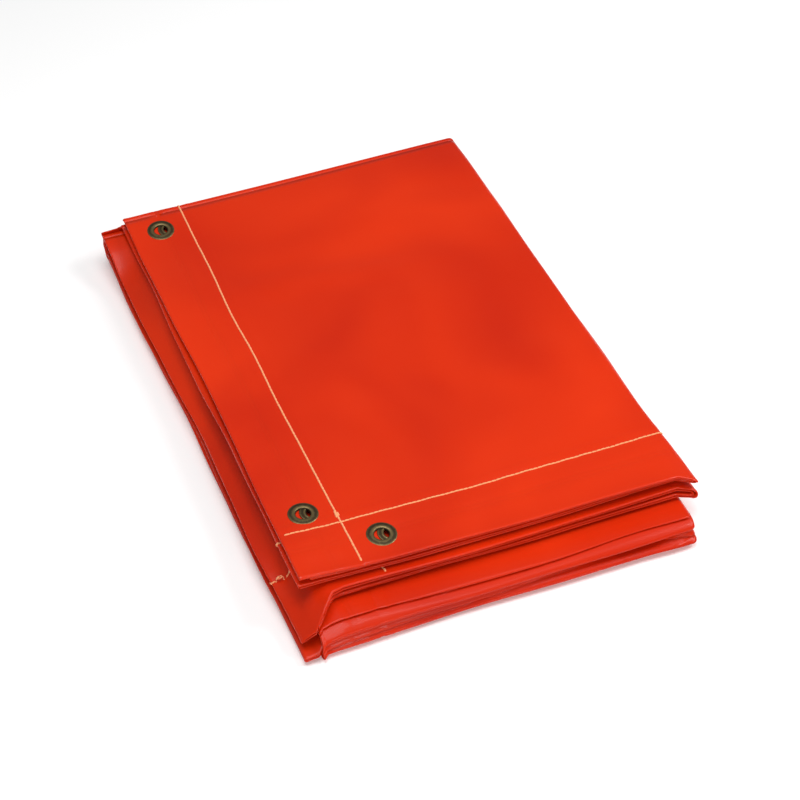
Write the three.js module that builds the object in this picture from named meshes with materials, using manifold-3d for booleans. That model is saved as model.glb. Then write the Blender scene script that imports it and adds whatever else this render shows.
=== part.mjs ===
// A welding curtain, folded flat for storage: one orange PVC sheet with turned hems, a line of thread along
// each hem and brass eyelets with washers. Millimetres, +Z up, the folded hem edges at -Y, the fold spine at
// +Y. The origin is the middle of the underside.
import * as THREE from "three";
import { mergeVertices } from "three/addons/utils/BufferGeometryUtils.js";
import Module from "manifold-3d";

const wasm = await Module();
wasm.setup();

// ---- The sheet, laid out flat ----
const SHEET_WIDTH = 1300;
const SHEET_LENGTH = 2000;
const PLY = 0.4;
const HEM = 56;
const SEAM_INSET = 48;

// ---- Eyelets: places along the hems, counted from the sheet's corners ----
const EYELET_INSET = 24.5; // from the hem edge to the middle of the hole
const SIDE_EYELET_COUNT = 6;
const SIDE_EYELET_END = 66; // from the top or bottom corner to the nearest side eyelet
const TOP_EYELET_COUNT = 4;
const TOP_EYELET_END = 72; // from a top corner to the nearest top eyelet
const FOLD_CLEARANCE = 2; // from a flange to the nearest fold

// ---- Eyelet sections ----
const HOLE_RADIUS = 6;
const BARREL_WALL = 0.4;
const FLANGE_RADIUS = 12;
const FLANGE_HEIGHT = 0.85; // above the face of the hem
const BACK_HEIGHT = 0.7; // below the back of the hem
const ROLL_WIDTH = 1.2; // the barrel's rolled end
const WASHER_RADIUS = 11;
const SEAT_GAP = 0.2; // metal to PVC
const SIDE_GAP = 0.3; // between pieces side by side

// ---- The folded bundle ----
const NEST_GAP = 1.7; // between two faces that look at each other
const BACK_GAP = 1.2; // between the backs of two eyelets
const SECOND_EDGE_INSET = 8; // how far the lower side hem stays behind the upper one
const SIDE_FOLD_REACH = 15; // how far the left fold stands out past the side hem
const OUTER_FOLD_BULGE = 6;
const INNER_FOLD_BULGE = 1.5;
const LEFT_FOLD_BULGE = 2.5;
const SECOND_HEM_REACH = 6; // how far the bottom hem stands out past the top hem
const ROLL_REACH = 32; // how far the front roll stands out past the top hem
const ROLL_BULGE = 8;
const ROLL_CORE_BULGE = 1;
const SPINE_BULGE = 8;
const OUTER_SPINE_CORE_BULGE = 5;
const INNER_SPINE_BULGE = 3.8;
const INNER_SPINE_CORE_BULGE = 1;
const SPINE_GAP = 0.15; // from the spine's plane to each piece that ends there
const DIMPLE_RAISE = 0.95; // the lowest layer is pushed up round its eyelet, so that the sheet lies flat
const DIMPLE_SLOPE = 3;

// ---- Thread ----
const THREAD_WIDTH = 0.9;
const THREAD_THICKNESS = 0.25;
const GROOVE_DEPTH = 0.5;

// ---- Fineness ----
const FOLD_STEPS = 8;
const ROLL_STEPS = 10;
const ROUND_STEPS = 14;

const FINISH = {
  pvc: { color: 0xd83a18, roughness: 0.3, metalness: 0 },
  thread: { color: 0xf0b060, roughness: 0.8, metalness: 0 },
  brass: { color: 0x7a6a3c, roughness: 0.4, metalness: 0.9 },
};

// ---- Worked out: depths in one pack of four panels, counted from panel 0's face ----
const HEM_THICKNESS = 2 * PLY;
const BACKS_PITCH = 2 * HEM_THICKNESS + 2 * BACK_HEIGHT + BACK_GAP;
const DEPTH = [0, 2 * BACKS_PITCH + NEST_GAP, BACKS_PITCH + NEST_GAP, BACKS_PITCH]; // the face of each panel
const PACK = DEPTH[1];

// The length of half an ellipse, by Ramanujan's formula.
function halfEllipse(a, b) {
  return (Math.PI / 2) * (3 * (a + b) - Math.sqrt((3 * a + b) * (a + 3 * b)));
}

// ---- Worked out: heights of panel 0's face in each of the four packs ----
const LOW_PACK_Z = 0;
const ROLL_TOP_Z = 2 * PACK + DIMPLE_RAISE + NEST_GAP;
const SECOND_PACK_Z = ROLL_TOP_Z + NEST_GAP;
const TOP_PACK_Z = SECOND_PACK_Z + 2 * PACK + NEST_GAP;
const HINGE_Z = (ROLL_TOP_Z + SECOND_PACK_Z) / 2;

// The height of depth c in each pack.
const topPackZ = (c) => TOP_PACK_Z - c;
const secondPackZ = (c) => SECOND_PACK_Z + c;
const rollTopZ = (c) => ROLL_TOP_Z - c;
const lowPackZ = (c) => {
  const rise = (c - HEM_THICKNESS) / (BACKS_PITCH - 2 * HEM_THICKNESS);
  return LOW_PACK_Z + c + DIMPLE_RAISE * Math.min(Math.max(rise, 0), 1);
};

// ---- Worked out: widths. The panels and their folds add up to the sheet's width. ----
const LEFT_FOLD_RUN = SIDE_FOLD_REACH - LEFT_FOLD_BULGE;
const FOLD_LENGTHS =
  halfEllipse(OUTER_FOLD_BULGE, PACK / 2) +
  halfEllipse(LEFT_FOLD_BULGE, BACKS_PITCH / 2) +
  halfEllipse(INNER_FOLD_BULGE, NEST_GAP / 2);
const PANEL_WIDTH = (SHEET_WIDTH - FOLD_LENGTHS - 2 * LEFT_FOLD_RUN + SECOND_EDGE_INSET) / 4;
const BUNDLE_WIDTH = SIDE_FOLD_REACH + PANEL_WIDTH + OUTER_FOLD_BULGE;
const HEM_EDGE_X = -BUNDLE_WIDTH / 2 + SIDE_FOLD_REACH;
const SECOND_EDGE_X = HEM_EDGE_X + SECOND_EDGE_INSET;
const LEFT_FOLD_X = HEM_EDGE_X - LEFT_FOLD_RUN;
const RIGHT_FOLD_X = HEM_EDGE_X + PANEL_WIDTH;

// ---- Worked out: lengths. The packs and their folds add up to the sheet's length. ----
const ROLL_RUN = ROLL_REACH - ROLL_BULGE;
const ROLL_HALF = (ROLL_TOP_Z - LOW_PACK_Z) / 2;
const OUTER_SPINE_LENGTH = halfEllipse(SPINE_BULGE, (TOP_PACK_Z - LOW_PACK_Z) / 2);
const ROLL_LENGTH = halfEllipse(ROLL_BULGE, ROLL_HALF);
const INNER_SPINE_LENGTH = halfEllipse(INNER_SPINE_CORE_BULGE, NEST_GAP / 2);
const SPINE_LENGTHS = OUTER_SPINE_LENGTH + ROLL_LENGTH + INNER_SPINE_LENGTH;
const PACK_LENGTH = (SHEET_LENGTH - SPINE_LENGTHS - 2 * ROLL_RUN - SECOND_HEM_REACH) / 4;
const BUNDLE_LENGTH = ROLL_REACH + PACK_LENGTH + SPINE_BULGE + SPINE_GAP;
const TOP_HEM_Y = -BUNDLE_LENGTH / 2 + ROLL_REACH;
const BOTTOM_HEM_Y = TOP_HEM_Y - SECOND_HEM_REACH;
const ROLL_Y = TOP_HEM_Y - ROLL_RUN;
const SPINE_Y = TOP_HEM_Y + PACK_LENGTH;
const PACK_END_Y = SPINE_Y - SPINE_GAP;

// ---- Solids ----

// A mesh geometry as a manifold-3d solid.
function solidOf(geometry) {
  const bare = new THREE.BufferGeometry().setAttribute("position", geometry.getAttribute("position"));
  bare.setIndex(geometry.index);
  const merged = mergeVertices(bare, 1e-4);
  return new wasm.Manifold(
    new wasm.Mesh({
      numProp: 3,
      vertProperties: merged.attributes.position.array,
      triVerts: new Uint32Array(merged.index.array),
    }),
  );
}

// A manifold-3d solid as a mesh geometry.
function geometryOf(solid) {
  const mesh = solid.getMesh();
  const geometry = new THREE.BufferGeometry();
  geometry.setAttribute("position", new THREE.BufferAttribute(new Float32Array(mesh.vertProperties), 3));
  geometry.setIndex(new THREE.BufferAttribute(new Uint32Array(mesh.triVerts), 1));
  geometry.computeVertexNormals();
  return geometry;
}

// A closed outline of [x, depth] carried through stations. Each station places a point of the outline.
function loft(outline, stations) {
  const flat = outline.map(([x, depth]) => new THREE.Vector2(x, depth));
  if (THREE.ShapeUtils.isClockWise(flat)) flat.reverse();
  const positions = [];
  for (const place of stations)
    for (const point of flat) positions.push(point.x, ...place(point.y));
  const count = flat.length;
  const faces = [];
  for (let s = 0; s + 1 < stations.length; s++)
    for (let i = 0; i < count; i++) {
      const j = (i + 1) % count;
      const [a, b, c, d] = [s * count + i, s * count + j, (s + 1) * count + j, (s + 1) * count + i];
      faces.push(a, b, c, a, c, d);
    }
  const last = (stations.length - 1) * count;
  for (const [a, b, c] of THREE.ShapeUtils.triangulateShape(flat, [])) {
    faces.push(a, c, b);
    faces.push(last + a, last + b, last + c);
  }
  const geometry = new THREE.BufferGeometry();
  geometry.setAttribute("position", new THREE.Float32BufferAttribute(positions, 3));
  geometry.setIndex(faces);
  return facingOut(geometry);
}

// The solid of a closed geometry, with its faces turned round if they point in.
function facingOut(geometry) {
  const solid = solidOf(geometry);
  if (solid.volume() > 0) return solid;
  const index = geometry.index.array;
  for (let i = 0; i < index.length; i += 3) [index[i + 1], index[i + 2]] = [index[i + 2], index[i + 1]];
  return solidOf(geometry);
}

// A solid turned about Z, from a closed profile of [radius, height].
function turned(profile) {
  const points = profile.map(([r, z]) => new THREE.Vector2(r, z));
  points.push(points[0].clone());
  return facingOut(new THREE.LatheGeometry(points, ROUND_STEPS).rotateX(Math.PI / 2));
}

// Half an ellipse from [x, from] to [x, to], bulging by `bulge` along X.
function foldArc(x, from, to, bulge) {
  const points = [];
  const [middle, half] = [(from + to) / 2, (to - from) / 2];
  for (let i = 1; i < FOLD_STEPS; i++) {
    const angle = (i / FOLD_STEPS) * Math.PI;
    points.push([x + bulge * Math.sin(angle), middle - half * Math.cos(angle)]);
  }
  return points;
}

// The sheet's face across the four panels of a pack, moved out by `out`, from panel 0's hem edge to panel 3's.
function facePath(out) {
  const [c0, c1, c2, c3] = DEPTH;
  return [
    [HEM_EDGE_X, c0 - out],
    [RIGHT_FOLD_X, c0 - out],
    ...foldArc(RIGHT_FOLD_X, c0 - out, c1 + out, OUTER_FOLD_BULGE + out),
    [RIGHT_FOLD_X, c1 + out],
    [LEFT_FOLD_X, c1 + out],
    ...foldArc(LEFT_FOLD_X, c1 + out, c2 - out, -LEFT_FOLD_BULGE - out),
    [LEFT_FOLD_X, c2 - out],
    [RIGHT_FOLD_X, c2 - out],
    ...foldArc(RIGHT_FOLD_X, c2 - out, c3 + out, INNER_FOLD_BULGE - PLY - out),
    [RIGHT_FOLD_X, c3 + out],
    [SECOND_EDGE_X, c3 + out],
  ];
}

// The outline of the folded sheet, `ply` thick, with its two side hems doubled.
function packOutline(ply) {
  const back = facePath(-ply).reverse();
  const secondEdge = back.shift();
  const firstEdge = back.pop();
  const secondHem = [
    [SECOND_EDGE_X, DEPTH[3] - HEM_THICKNESS],
    [SECOND_EDGE_X + HEM, DEPTH[3] - HEM_THICKNESS],
    [SECOND_EDGE_X + HEM, secondEdge[1]],
  ];
  const firstHem = [
    [HEM_EDGE_X + HEM, firstEdge[1]],
    [HEM_EDGE_X + HEM, HEM_THICKNESS],
    [HEM_EDGE_X, HEM_THICKNESS],
  ];
  return [...facePath(0), ...secondHem, ...back, ...firstHem];
}

// The outline where the top or bottom hem doubles every panel.
function hemOutline() {
  return [...facePath(0), ...facePath(-HEM_THICKNESS).reverse()];
}

// A flat strip on the face of a side hem, from `low` to `high` out of the face, counted inwards as positive.
function stripOutline(panel, width, low, high) {
  const inward = panel === 0 ? 1 : -1;
  const edge = panel === 0 ? HEM_EDGE_X : SECOND_EDGE_X;
  const [left, right] = [edge + SEAM_INSET - width / 2, edge + SEAM_INSET + width / 2];
  const [near, far] = [DEPTH[panel] + inward * low, DEPTH[panel] + inward * high];
  return [[left, near], [right, near], [right, far], [left, far]];
}

// ---- Stations ----
const straight = (from, to, height) => [(c) => [from, height(c)], (c) => [to, height(c)]];

// A half turn in Y and Z between two packs at `y`, bulging by bulgeAt(depth).
function halfTurn(y, upper, lower, bulgeAt, steps) {
  const stations = [];
  for (let i = 0; i <= steps; i++) {
    const angle = (i / steps) * Math.PI;
    stations.push((c) => {
      const [middle, half] = [(upper(c) + lower(c)) / 2, (upper(c) - lower(c)) / 2];
      return [y + bulgeAt(c) * Math.sin(angle), middle + half * Math.cos(angle)];
    });
  }
  return stations;
}

const between = (atFace, atCore) => (c) => atFace + (atCore - atFace) * (c / PACK);

const ROUTES = {
  top_quarter: straight(TOP_HEM_Y, PACK_END_Y, topPackZ),
  second_quarter: straight(BOTTOM_HEM_Y, PACK_END_Y, secondPackZ),
  lower_half: [
    (c) => [PACK_END_Y, rollTopZ(c)],
    ...halfTurn(ROLL_Y, rollTopZ, lowPackZ, between(-ROLL_BULGE, -ROLL_CORE_BULGE), ROLL_STEPS),
    (c) => [PACK_END_Y, lowPackZ(c)],
  ],
  outer_spine: halfTurn(
    SPINE_Y + SPINE_GAP, topPackZ, lowPackZ, between(SPINE_BULGE, OUTER_SPINE_CORE_BULGE), ROLL_STEPS),
  inner_spine: halfTurn(
    SPINE_Y + SPINE_GAP, secondPackZ, rollTopZ, between(INNER_SPINE_CORE_BULGE, INNER_SPINE_BULGE), ROLL_STEPS),
};

// ---- Eyelets ----
// Each has a name, a place [x, y], the height of the hem's face there, and 1 or -1 for a face up or down.
const sideStep = (SHEET_LENGTH - 2 * SIDE_EYELET_END) / (SIDE_EYELET_COUNT - 1);
const topStep = (SHEET_WIDTH - 2 * TOP_EYELET_END) / (TOP_EYELET_COUNT - 1);

// Where the middle of a fold lies along the sheet, from the lengths that come before it.
const FOLD_T = [
  PACK_LENGTH + OUTER_SPINE_LENGTH / 2,
  PACK_LENGTH + OUTER_SPINE_LENGTH + PACK_LENGTH + ROLL_RUN + ROLL_LENGTH / 2,
  SHEET_LENGTH - PACK_LENGTH - SECOND_HEM_REACH - INNER_SPINE_LENGTH / 2,
];

// No fold runs across an eyelet, so one that would reach a fold stands just clear of it.
const clearOf = (low, high, place) =>
  Math.min(Math.max(place, low + FLANGE_RADIUS + FOLD_CLEARANCE), high - FLANGE_RADIUS - FOLD_CLEARANCE);

// The pack, Y, height function and facing of panel 0 at a distance t from the top hem.
function packAt(t) {
  const clear = (y) => clearOf(ROLL_Y, PACK_END_Y, y);
  if (t < FOLD_T[0]) return { pack: "top_quarter", y: clear(TOP_HEM_Y + t), height: topPackZ, up: 1 };
  if (t < FOLD_T[1]) {
    const y = clear(SPINE_Y - (t - PACK_LENGTH - OUTER_SPINE_LENGTH));
    return { pack: "lower_half", y, height: lowPackZ, up: -1 };
  }
  if (t < FOLD_T[2]) {
    const y = clear(SPINE_Y - (FOLD_T[2] - INNER_SPINE_LENGTH / 2 - t));
    return { pack: "lower_half", y, height: rollTopZ, up: 1 };
  }
  const y = clear(BOTTOM_HEM_Y + SHEET_LENGTH - t);
  return { pack: "second_quarter", y, height: secondPackZ, up: -1 };
}

// The panel and X at a distance s from the left hem edge.
function panelAt(s) {
  const outer = halfEllipse(OUTER_FOLD_BULGE, PACK / 2);
  const left = halfEllipse(LEFT_FOLD_BULGE, BACKS_PITCH / 2);
  const secondStart = PANEL_WIDTH + outer;
  const thirdStart = secondStart + PANEL_WIDTH + LEFT_FOLD_RUN + left;
  const clear = (x) => clearOf(LEFT_FOLD_X, RIGHT_FOLD_X, x);
  if (s < PANEL_WIDTH + outer / 2) return [0, clear(HEM_EDGE_X + s)];
  if (s < thirdStart - left / 2) return [1, clear(RIGHT_FOLD_X - (s - secondStart))];
  if (s < thirdStart + PANEL_WIDTH + LEFT_FOLD_RUN) return [2, clear(LEFT_FOLD_X + (s - thirdStart))];
  return [3, clear(SECOND_EDGE_X + SHEET_WIDTH - s)];
}

function eyelets() {
  const list = [];
  const add = (name, panel, x, t) => {
    const { pack, y, height, up } = packAt(t);
    const facing = panel % 2 ? -up : up;
    const onFloor = height === lowPackZ && panel === 0;
    const z = height(DEPTH[panel]) + (onFloor ? DIMPLE_RAISE : 0);
    list.push({ name, pack, x, y, z, facing, onFloor });
  };
  for (let i = 0; i < SIDE_EYELET_COUNT; i++) {
    const t = SIDE_EYELET_END + i * sideStep;
    add(`left_${i + 1}`, 0, HEM_EDGE_X + EYELET_INSET, t);
    add(`right_${i + 1}`, 3, SECOND_EDGE_X + EYELET_INSET, t);
  }
  for (let i = 0; i < TOP_EYELET_COUNT; i++) {
    const [panel, x] = panelAt(TOP_EYELET_END + i * topStep);
    add(`top_${i + 1}`, panel, x, EYELET_INSET);
  }
  return list;
}

const BARREL_RADIUS = HOLE_RADIUS + BARREL_WALL;
const SHEET_HOLE_RADIUS = BARREL_RADIUS + SIDE_GAP;

// The barrel with its flange: through the hem from the face, with its end rolled out behind.
function barrel() {
  const [seat, top] = [SEAT_GAP, FLANGE_HEIGHT];
  const [back, end] = [-HEM_THICKNESS - SEAT_GAP, -HEM_THICKNESS - BACK_HEIGHT];
  return turned([
    [HOLE_RADIUS, end],
    [BARREL_RADIUS + ROLL_WIDTH, end],
    [BARREL_RADIUS + ROLL_WIDTH, back],
    [BARREL_RADIUS, back],
    [BARREL_RADIUS, seat],
    [FLANGE_RADIUS, seat],
    [FLANGE_RADIUS - 1, top - 0.1],
    [HOLE_RADIUS + 1, top],
    [HOLE_RADIUS, top - 0.3],
  ]);
}

// The washer round the rolled end, behind the hem.
function washer() {
  const inner = BARREL_RADIUS + ROLL_WIDTH + SIDE_GAP;
  const [back, end] = [-HEM_THICKNESS - SEAT_GAP, -HEM_THICKNESS - BACK_HEIGHT];
  return turned([
    [inner, end],
    [WASHER_RADIUS - 0.4, end],
    [WASHER_RADIUS, back],
    [inner, back],
  ]);
}

function hemHole() {
  const reach = SEAT_GAP;
  return turned([
    [0, -HEM_THICKNESS - reach],
    [SHEET_HOLE_RADIUS, -HEM_THICKNESS - reach],
    [SHEET_HOLE_RADIUS, reach],
    [0, reach],
  ]);
}

const DIMPLE_FLAT_RADIUS = FLANGE_RADIUS + 1;
const DIMPLE_FOOT_RADIUS = DIMPLE_FLAT_RADIUS + DIMPLE_SLOPE;

// The lowest layer pushed up round its eyelet, with the hole already in it. Heights are from the floor.
function dimple() {
  return turned([
    [SHEET_HOLE_RADIUS, DIMPLE_RAISE],
    [DIMPLE_FLAT_RADIUS, DIMPLE_RAISE],
    [DIMPLE_FOOT_RADIUS, LOW_PACK_Z],
    [DIMPLE_FOOT_RADIUS + 1, LOW_PACK_Z],
    [DIMPLE_FOOT_RADIUS + 1, HEM_THICKNESS],
    [DIMPLE_FOOT_RADIUS, HEM_THICKNESS],
    [DIMPLE_FLAT_RADIUS, DIMPLE_RAISE + HEM_THICKNESS],
    [SHEET_HOLE_RADIUS, DIMPLE_RAISE + HEM_THICKNESS],
  ]);
}

function dimpleRoom() {
  return turned([
    [0, LOW_PACK_Z - 1],
    [DIMPLE_FOOT_RADIUS + 0.5, LOW_PACK_Z - 1],
    [DIMPLE_FOOT_RADIUS + 0.5, HEM_THICKNESS + 0.5],
    [0, HEM_THICKNESS + 0.5],
  ]);
}

// A solid made with its face up, put at an eyelet's place and turned to its facing.
function seat(solid, { x, y, z, facing }) {
  return solid.rotate([facing > 0 ? 0 : 180, 0, 0]).translate([x, y, z]);
}

// ---- The sheet's own pieces ----
function sheetPiece(name) {
  let sheet = loft(packOutline(PLY), ROUTES[name]);
  if (name === "top_quarter")
    sheet = sheet.add(loft(hemOutline(), straight(TOP_HEM_Y, TOP_HEM_Y + HEM, topPackZ)));
  if (name === "second_quarter")
    sheet = sheet.add(loft(hemOutline(), straight(BOTTOM_HEM_Y, BOTTOM_HEM_Y + HEM, secondPackZ)));
  for (const panel of [0, 3]) {
    const groove = stripOutline(panel, THREAD_WIDTH + 2 * SIDE_GAP, -SIDE_GAP, GROOVE_DEPTH);
    sheet = sheet.subtract(loft(groove, pastEnds(ROUTES[name])));
  }
  for (const eyelet of eyelets()) {
    if (eyelet.pack !== name) continue;
    if (eyelet.onFloor) {
      const place = [eyelet.x, eyelet.y, 0];
      sheet = sheet.subtract(dimpleRoom().translate(place)).add(dimple().translate(place));
    } else sheet = sheet.subtract(seat(hemHole(), eyelet));
  }
  return sheet;
}

// A route with its two ends moved out by a millimetre, so that a cut runs past both.
function pastEnds(route) {
  const onward = (near, beyond) => (c) => {
    const [y, z] = near(c);
    const [y2, z2] = beyond(c);
    const run = Math.hypot(y - y2, z - z2);
    return [y + (y - y2) / run, z + (z - z2) / run];
  };
  const last = route.length - 1;
  return [onward(route[0], route[1]), ...route.slice(1, last), onward(route[last], route[last - 1])];
}

// ---- Assembly ----
const curtain = new THREE.Group();
curtain.name = "folded_welding_curtain";
// The last fold opens about this line, with the two upper packs swinging up and over to the back.
curtain.userData.lastFold = { point: [0, SPINE_Y, HINGE_Z], axis: [-1, 0, 0], degrees: [0, 180] };

function addPiece(name, solid, finish) {
  const mesh = new THREE.Mesh(geometryOf(solid), new THREE.MeshStandardMaterial(FINISH[finish]));
  mesh.name = name;
  curtain.add(mesh);
}

for (const name of Object.keys(ROUTES)) addPiece(`sheet_${name}`, sheetPiece(name), "pvc");

for (const [panel, side] of [[0, "left"], [3, "right"]])
  for (const [name, route] of Object.entries(ROUTES)) {
    const strip = stripOutline(panel, THREAD_WIDTH, 0, THREAD_THICKNESS);
    addPiece(`thread_${side}_${name}`, loft(strip, route), "thread");
  }

// The thread of the top or bottom hem runs round all four panels at one distance from the hem edge.
function hemThread(hemY, height) {
  const path = [...facePath(SEAT_GAP), ...facePath(SEAT_GAP + THREAD_THICKNESS).reverse()];
  const middle = hemY + SEAM_INSET;
  return loft(path, straight(middle - THREAD_WIDTH / 2, middle + THREAD_WIDTH / 2, height));
}
addPiece("thread_top_hem", hemThread(TOP_HEM_Y, topPackZ), "thread");
addPiece("thread_bottom_hem", hemThread(BOTTOM_HEM_Y, secondPackZ), "thread");

for (const eyelet of eyelets()) {
  addPiece(`eyelet_${eyelet.name}`, seat(barrel(), eyelet), "brass");
  addPiece(`washer_${eyelet.name}`, seat(washer(), eyelet), "brass");
}

export default curtain;
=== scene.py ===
"""A welding curtain folded flat: orange PVC film, sewn hems, brass eyelets. Metres, +Z up, the frame's own axes.

The sheet is one fold map. It carries each point of the flat sheet to its place in the bundle, and every piece of
film, every line of stitches and every eyelet is placed by the same map.
"""

from __future__ import annotations

import logging
import math
from dataclasses import dataclass, field
from enum import Enum

import bpy
import numpy as np
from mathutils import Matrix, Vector

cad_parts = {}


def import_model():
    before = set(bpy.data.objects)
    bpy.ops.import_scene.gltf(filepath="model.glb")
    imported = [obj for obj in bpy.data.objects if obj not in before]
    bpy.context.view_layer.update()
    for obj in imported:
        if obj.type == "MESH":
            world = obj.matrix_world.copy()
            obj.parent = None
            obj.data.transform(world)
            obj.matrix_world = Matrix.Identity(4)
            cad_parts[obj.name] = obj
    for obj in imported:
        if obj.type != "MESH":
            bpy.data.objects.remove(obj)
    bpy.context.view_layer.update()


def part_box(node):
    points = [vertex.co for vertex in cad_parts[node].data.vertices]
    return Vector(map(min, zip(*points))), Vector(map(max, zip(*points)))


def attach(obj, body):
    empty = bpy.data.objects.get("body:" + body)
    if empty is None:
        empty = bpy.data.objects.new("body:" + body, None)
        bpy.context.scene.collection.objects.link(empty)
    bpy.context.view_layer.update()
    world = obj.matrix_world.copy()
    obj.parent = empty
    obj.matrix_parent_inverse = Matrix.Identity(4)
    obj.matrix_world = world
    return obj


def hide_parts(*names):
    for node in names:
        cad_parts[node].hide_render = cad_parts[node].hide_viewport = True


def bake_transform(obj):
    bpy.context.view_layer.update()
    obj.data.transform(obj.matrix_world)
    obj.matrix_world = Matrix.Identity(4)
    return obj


LOG = logging.getLogger("folded_curtain")
MM = 0.001
LOWER = "lower_half"
UPPER = "upper_half"
Array = np.ndarray


def smooth(low: float, high: float, value: Array) -> Array:
    """A smooth step from 0 at low to 1 at high."""
    t = np.clip((value - low) / (high - low), 0.0, 1.0)
    return t * t * (3.0 - 2.0 * t)


def hump(value: Array, middle: float, width: float) -> Array:
    """A rounded hump of height 1 at middle, about width wide on each side."""
    return np.exp(-(((value - middle) / width) ** 2))


def ripple(u: Array, v: Array, wavelength: float, phase: float) -> Array:
    """Slow uneven waves between about -1 and 1 over two coordinates.

    Args:
        u: The first coordinate.
        v: The second coordinate.
        wavelength: The main distance between crests.
        phase: Which waves.

    Returns:
        The waves.
    """
    k = 2.0 * math.pi / wavelength
    total = np.sin(k * (u + 0.31 * v) + phase)
    total = total + 0.6 * np.sin(1.7 * k * (0.42 * u - v) + 2.3 * phase + 1.0)
    total = total + 0.4 * np.sin(2.9 * k * (0.8 * u + 0.5 * v) + 3.1 * phase + 2.0)
    return total / 2.0


def fold_back(value: Array, size: float) -> Array:
    """Folds hem flaps, below 0 and past size, back onto the sheet."""
    return np.where(value < 0, -value, np.where(value > size, 2 * size - value, value))


def half_ellipse(a: float, b: float) -> float:
    """The length of half an ellipse with semi-axes a and b."""
    return math.pi / 2 * (3 * (a + b) - math.sqrt((3 * a + b) * (a + 3 * b)))


# ---------------------------------------------------------------------------------------------- the bundle's sizes


@dataclass
class Bundle:
    """The bundle's sizes, read from the frame's own solids and the film's few known ones."""

    ply: float = 0.4 * MM
    hem: float = 56 * MM
    seam_inset: float = 48 * MM
    eyelet_inset: float = 24.5 * MM
    side_eyelets: int = 6
    top_eyelets: int = 4
    nest_gap: float = 1.7 * MM
    outer_bulge: float = 6 * MM
    inner_bulge: float = 1.5 * MM
    left_bulge: float = 2.5 * MM
    roll_bulge: float = 8 * MM
    roll_core_bulge: float = 1 * MM
    spine_bulge: float = 8 * MM
    outer_spine_core: float = 5 * MM
    inner_spine_bulge: float = 3.8 * MM
    inner_spine_core: float = 1 * MM
    rise: float = 0.95 * MM
    hem_x: float = field(init=False)
    second_x: float = field(init=False)
    left_x: float = field(init=False)
    right_x: float = field(init=False)
    top_hem_y: float = field(init=False)
    bottom_hem_y: float = field(init=False)
    roll_y: float = field(init=False)
    spine_y: float = field(init=False)
    top_z: float = field(init=False)
    second_z: float = field(init=False)
    roll_top_z: float = field(init=False)
    pack: float = field(init=False)
    backs: float = field(init=False)

    def __post_init__(self) -> None:
        """Reads the places of the folds and hems from the boxes of the solids."""
        top_low, top_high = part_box("sheet_top_quarter")
        second_low, second_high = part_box("sheet_second_quarter")
        lower_low, lower_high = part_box("sheet_lower_half")
        seam_low, seam_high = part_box("thread_left_top_quarter")
        second_seam_low, second_seam_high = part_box("thread_right_top_quarter")
        self.hem_x = (seam_low.x + seam_high.x) / 2 - self.seam_inset
        self.second_x = (second_seam_low.x + second_seam_high.x) / 2 - self.seam_inset
        self.left_x = top_low.x + self.left_bulge
        self.right_x = top_high.x - self.outer_bulge
        self.top_hem_y = top_low.y
        self.bottom_hem_y = second_low.y
        self.roll_y = lower_low.y + self.roll_bulge
        self.spine_y = top_high.y
        self.top_z = top_high.z
        self.second_z = second_low.z
        self.roll_top_z = lower_high.z
        self.pack = second_high.z - second_low.z
        self.backs = (self.pack - self.nest_gap) / 2

    @property
    def depths(self) -> list[float]:
        """The depth of each panel's face in a pack, from panel 0's face."""
        return [0.0, self.pack, self.backs + self.nest_gap, self.backs]


class Layer(Enum):
    """Which way one spine strip's panel lies: its number in the pack."""

    FIRST = 0
    SECOND = 1
    THIRD = 2
    FOURTH = 3


# ------------------------------------------------------------------------------------------ how the film settles


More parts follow.
